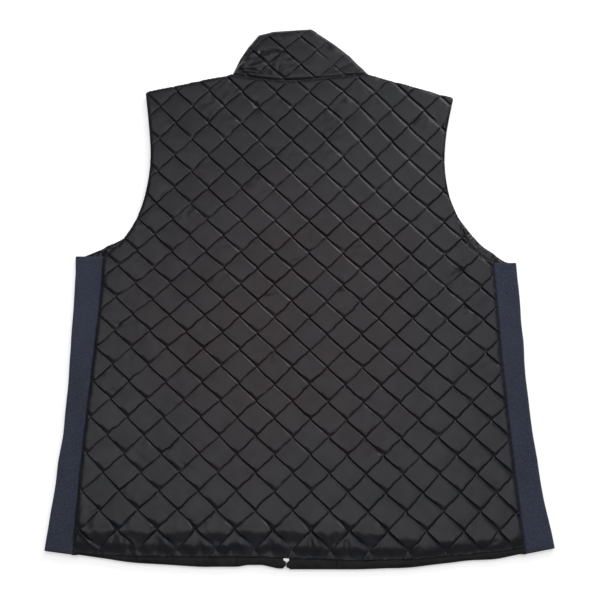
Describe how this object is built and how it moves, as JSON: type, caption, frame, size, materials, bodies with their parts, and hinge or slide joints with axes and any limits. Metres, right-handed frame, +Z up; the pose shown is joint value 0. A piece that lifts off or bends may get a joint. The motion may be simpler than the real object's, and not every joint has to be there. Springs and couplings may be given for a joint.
{
  "type": "quilted vest",
  "caption": "Sleeveless diamond-quilted zip vest with a stand collar and plain knit side panels, laid flat with its back up.",
  "frame": {"origin": "on the surface the vest lies on, under the middle of its outline", "axes": "+X towards the wearer's right, which is the right of the picture; +Y from hem to collar; +Z up, out of the vest's back"},
  "size_m": [0.61, 0.742, 0.0126],
  "materials": {
    "quilted_taffeta": "glossy polyester taffeta, stitched in diamonds over light wadding",
    "navy_knit": "matt fine knit with a diagonal twill face",
    "lining_taffeta": "thin dark lining, slightly puckered",
    "zip_tape": "woven polyester tape and coil",
    "zip_metal": "bright nickel"
  },
  "bodies": {
    "vest": {"back_panel": "quilted_taffeta", "front_left": "quilted_taffeta", "front_right": "quilted_taffeta", "collar": "quilted_taffeta", "side_panel_left": "navy_knit", "side_panel_right": "navy_knit", "front_facing_left": "lining_taffeta", "front_facing_right": "lining_taffeta", "hem_facing_left": "lining_taffeta", "hem_facing_right": "lining_taffeta", "armhole_facing_left": "lining_taffeta", "armhole_facing_right": "lining_taffeta", "zip_tape_left": "zip_tape", "zip_tape_right": "zip_tape", "zip_chain": "zip_tape", "zip_box": "zip_metal", "zip_slider": "zip_metal"},
    "pull_tab": {"zip_pull": "zip_metal"}
  },
  "joints": [
    {"name": "pull_tab_swing", "type": "hinge", "parent": "vest", "child": "pull_tab", "pos_m": [-0.016, 0.2842, 0.00175], "axis": [1, 0, 0], "range_deg": [0, 180]}
  ]
}
